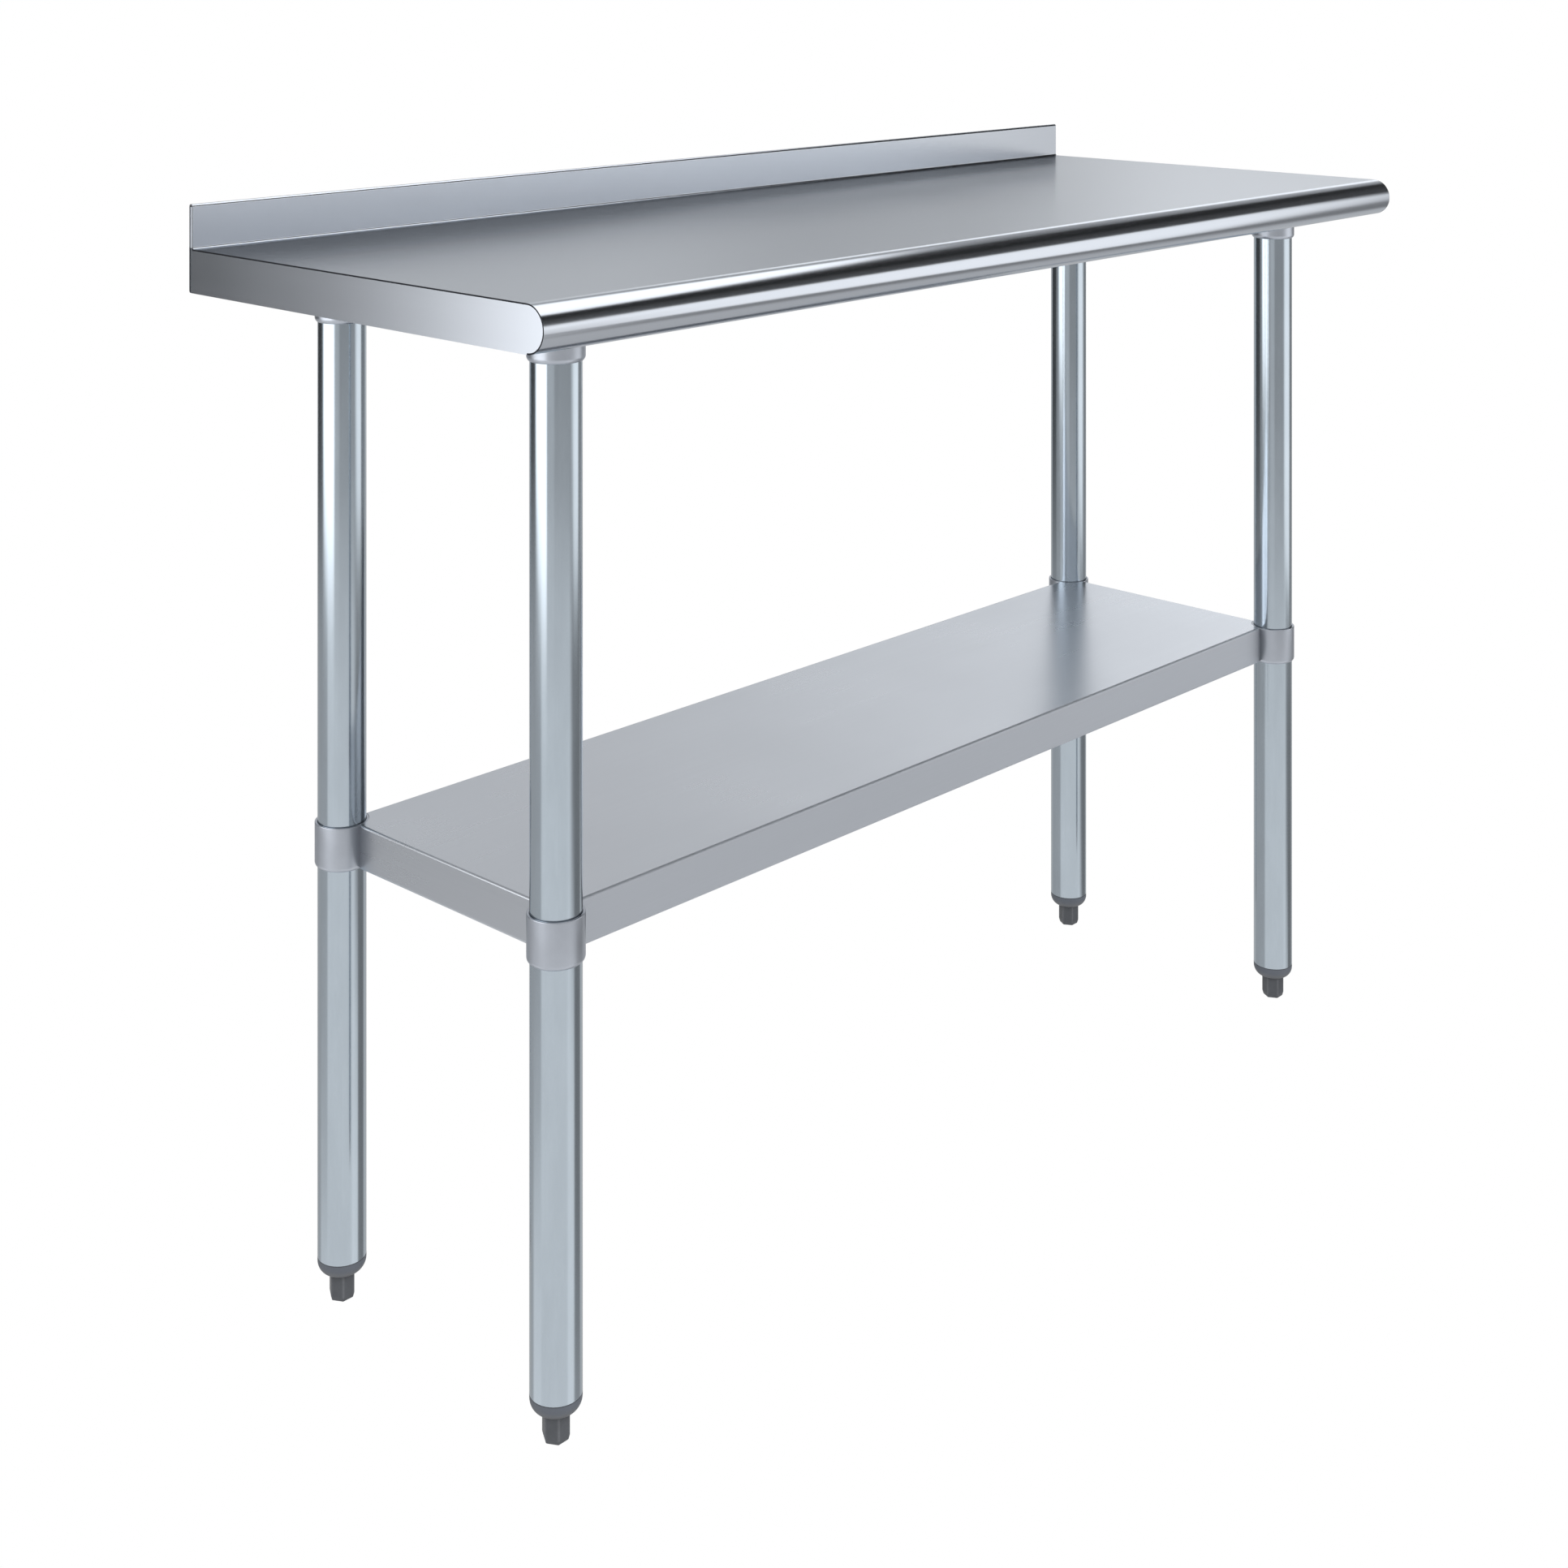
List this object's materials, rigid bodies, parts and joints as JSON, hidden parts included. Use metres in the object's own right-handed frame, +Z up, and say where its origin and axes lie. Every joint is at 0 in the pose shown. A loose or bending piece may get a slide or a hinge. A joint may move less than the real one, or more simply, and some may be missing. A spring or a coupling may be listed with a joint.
{
  "type": "stainless work table",
  "caption": "Freestanding stainless steel work table with rolled front edge, low backsplash, tubular legs, height-adjustable undershelf and levelling feet.",
  "frame": {"origin": "on the floor, under the middle of the table", "axes": "+X along the table's length to the right, +Y to the back (backsplash), +Z up"},
  "size_m": [1.2192, 0.4571, 0.9282],
  "materials": {
    "stainless_top": "fine satin brushed stainless, grain along the table",
    "stainless_shelf": "satin stainless",
    "frame_steel": "mill-finish galvanised sheet",
    "leg_tube": "smooth galvanised tube, bluish grey, glossy",
    "socket_alloy": "satin die-cast",
    "zinc_hardware": "bright zinc plate",
    "black_screws": "black-oxide steel",
    "insert_grey": "moulded grey nylon",
    "foot_grey": "moulded dark grey nylon"
  },
  "bodies": {
    "table": {"tabletop": "stainless_top", "left_end_panel": "stainless_top", "right_end_panel": "stainless_top", "left_cross_channel": "frame_steel", "right_cross_channel": "frame_steel", "center_channel": "frame_steel", "channel_weld_studs": "zinc_hardware", "channel_nuts": "zinc_hardware", "front_left_leg_socket": "socket_alloy", "front_right_leg_socket": "socket_alloy", "back_left_leg_socket": "socket_alloy", "back_right_leg_socket": "socket_alloy", "socket_set_screws": "black_screws", "front_left_leg": "leg_tube", "front_right_leg": "leg_tube", "back_left_leg": "leg_tube", "back_right_leg": "leg_tube", "front_left_foot_insert": "insert_grey", "front_right_foot_insert": "insert_grey", "back_left_foot_insert": "insert_grey", "back_right_foot_insert": "insert_grey"},
    "shelf": {"undershelf": "stainless_shelf", "shelf_stiffener": "frame_steel", "front_left_shelf_sleeve": "socket_alloy", "front_right_shelf_sleeve": "socket_alloy", "back_left_shelf_sleeve": "socket_alloy", "back_right_shelf_sleeve": "socket_alloy", "shelf_set_screws": "black_screws"},
    "front_left_stud": {"front_left_foot_stud": "zinc_hardware"},
    "front_left_foot": {"front_left_hex_foot": "foot_grey"},
    "front_right_stud": {"front_right_foot_stud": "zinc_hardware"},
    "front_right_foot": {"front_right_hex_foot": "foot_grey"},
    "back_left_stud": {"back_left_foot_stud": "zinc_hardware"},
    "back_left_foot": {"back_left_hex_foot": "foot_grey"},
    "back_right_stud": {"back_right_foot_stud": "zinc_hardware"},
    "back_right_foot": {"back_right_hex_foot": "foot_grey"}
  },
  "joints": [
    {"name": "shelf_height", "type": "slide", "parent": "table", "child": "shelf", "axis": [0, 0, 1], "range_m": [-0.3, 0.38], "stiffness_N_per_m": 20000},
    {"name": "front_left_foot_travel", "type": "slide", "parent": "table", "child": "front_left_stud", "axis": [0, 0, -1], "range_m": [0, 0.0254]},
    {"name": "front_left_foot_turn", "type": "hinge", "parent": "front_left_stud", "child": "front_left_foot", "pos_m": [-0.5185, -0.1375, 0.011], "axis": [0, 0, -1], "range_deg": [0, 3960]},
    {"name": "front_right_foot_travel", "type": "slide", "parent": "table", "child": "front_right_stud", "axis": [0, 0, -1], "range_m": [0, 0.0254]},
    {"name": "front_right_foot_turn", "type": "hinge", "parent": "front_right_stud", "child": "front_right_foot", "pos_m": [0.5185, -0.1375, 0.011], "axis": [0, 0, -1], "range_deg": [0, 3960]},
    {"name": "back_left_foot_travel", "type": "slide", "parent": "table", "child": "back_left_stud", "axis": [0, 0, -1], "range_m": [0, 0.0254]},
    {"name": "back_left_foot_turn", "type": "hinge", "parent": "back_left_stud", "child": "back_left_foot", "pos_m": [-0.5185, 0.1375, 0.011], "axis": [0, 0, -1], "range_deg": [0, 3960]},
    {"name": "back_right_foot_travel", "type": "slide", "parent": "table", "child": "back_right_stud", "axis": [0, 0, -1], "range_m": [0, 0.0254]},
    {"name": "back_right_foot_turn", "type": "hinge", "parent": "back_right_stud", "child": "back_right_foot", "pos_m": [0.5185, 0.1375, 0.011], "axis": [0, 0, -1], "range_deg": [0, 3960]}
  ],
  "couplings": [
    {"joint": "front_left_foot_turn", "follows": "front_left_foot_travel", "rad_per_m": 2721},
    {"joint": "front_right_foot_turn", "follows": "front_right_foot_travel", "rad_per_m": 2721},
    {"joint": "back_left_foot_turn", "follows": "back_left_foot_travel", "rad_per_m": 2721},
    {"joint": "back_right_foot_turn", "follows": "back_right_foot_travel", "rad_per_m": 2721}
  ]
}
